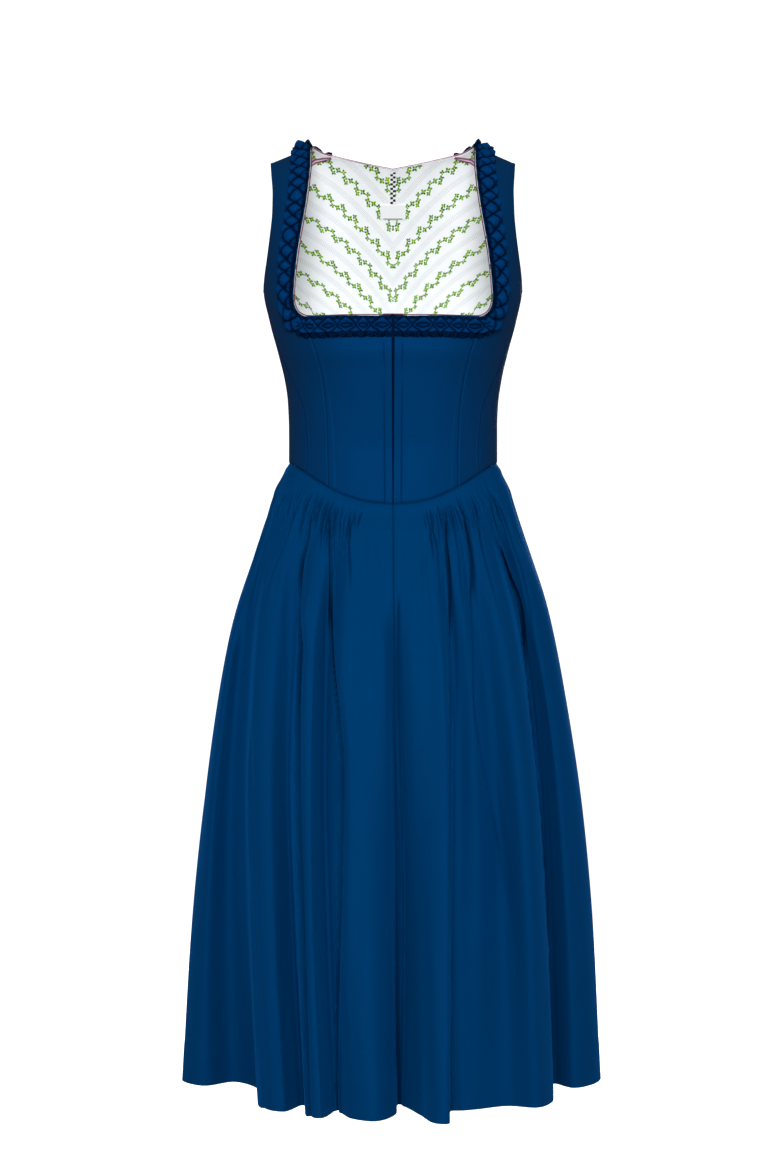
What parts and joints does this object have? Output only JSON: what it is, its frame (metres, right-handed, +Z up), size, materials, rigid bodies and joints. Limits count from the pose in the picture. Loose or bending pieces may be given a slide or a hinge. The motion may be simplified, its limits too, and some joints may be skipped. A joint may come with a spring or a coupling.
{
  "type": "dirndl dress",
  "caption": "Sleeveless midi dirndl with a square ruched neckline, princess-seamed bodice, dipped front waist and a gathered skirt, filled out as it is worn.",
  "frame": {"origin": "middle of the shoulder line, where a wearer or a hanger carries the dress", "axes": "+Z up, the front faces -Y, +X to the right as seen from the front; the hem is at the low end of Z"},
  "size_m": [0.477, 0.4446, 1.0639],
  "materials": {
    "bodice_cloth": "matt deep blue cotton, interlined",
    "skirt_cloth": "matt deep blue cotton with a soft hand",
    "ruched_trim": "deep blue cotton, ruched in a frog-mouth lattice",
    "printed_lining": "white cotton printed with rows of small green sprigs",
    "piping": "thin mauve satin piping",
    "hook_tape": "dark blue hook-and-eye tape",
    "hanger_tape": "narrow woven tape in a black and white check",
    "woven_label": "plain white woven label"
  },
  "bodies": {
    "root": {"back": "bodice_cloth", "front_centre_left": "bodice_cloth", "front_centre_right": "bodice_cloth", "front_side_left": "bodice_cloth", "front_side_right": "bodice_cloth", "hanger_tape": "hanger_tape", "hook_tape": "hook_tape", "label": "woven_label", "lining_back_left": "printed_lining", "lining_back_right": "printed_lining", "lining_front_side_left": "printed_lining", "lining_front_side_right": "printed_lining", "lining_side_left": "printed_lining", "lining_side_right": "printed_lining", "neck_piping": "piping", "ruche_left": "ruched_trim", "ruche_right": "ruched_trim", "side_left": "bodice_cloth", "side_right": "bodice_cloth", "skirt_back": "skirt_cloth", "skirt_front_left": "skirt_cloth", "skirt_front_right": "skirt_cloth"}
  },
  "joints": []
}
